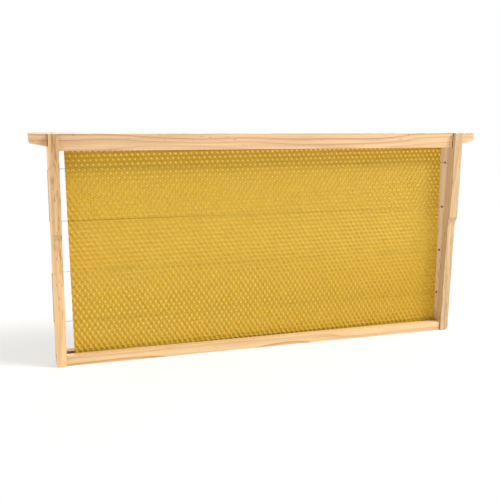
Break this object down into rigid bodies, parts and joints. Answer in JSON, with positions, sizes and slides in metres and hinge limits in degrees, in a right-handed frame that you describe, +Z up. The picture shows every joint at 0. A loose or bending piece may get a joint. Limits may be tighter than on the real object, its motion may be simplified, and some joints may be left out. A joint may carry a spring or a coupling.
{
  "type": "beehive frame",
  "caption": "Self-spacing wooden deep hive frame with tapered lugs, strained wire and an embossed wax foundation sheet in its grooves.",
  "frame": {"origin": "middle of the underside, on the plane that the frame stands on", "axes": "+X along the top bar towards the end where the wire is tied, +Y across the frame to its back, +Z up"},
  "size_m": [0.482, 0.035, 0.2307],
  "materials": {
    "pine": "planed, unfinished",
    "beeswax": "embossed, waxy satin",
    "frame_wire": "tinned, drawn",
    "brass": "pressed",
    "nail_steel": "bright drawn"
  },
  "bodies": {
    "root": {"top_bar": "pine", "left_end_bar": "pine", "right_end_bar": "pine", "bottom_bar": "pine", "foundation_sheet": "beeswax", "frame_wire": "frame_wire", "left_eyelet_1": "brass", "left_eyelet_2": "brass", "left_eyelet_3": "brass", "left_eyelet_4": "brass", "right_eyelet_1": "brass", "right_eyelet_2": "brass", "right_eyelet_3": "brass", "right_eyelet_4": "brass", "top_left_nail_front": "nail_steel", "top_left_nail_back": "nail_steel", "top_right_nail_front": "nail_steel", "top_right_nail_back": "nail_steel", "bottom_left_nail_front": "nail_steel", "bottom_left_nail_back": "nail_steel", "bottom_right_nail_front": "nail_steel", "bottom_right_nail_back": "nail_steel", "wire_start_tack": "nail_steel", "wire_end_tack": "nail_steel"}
  },
  "joints": []
}
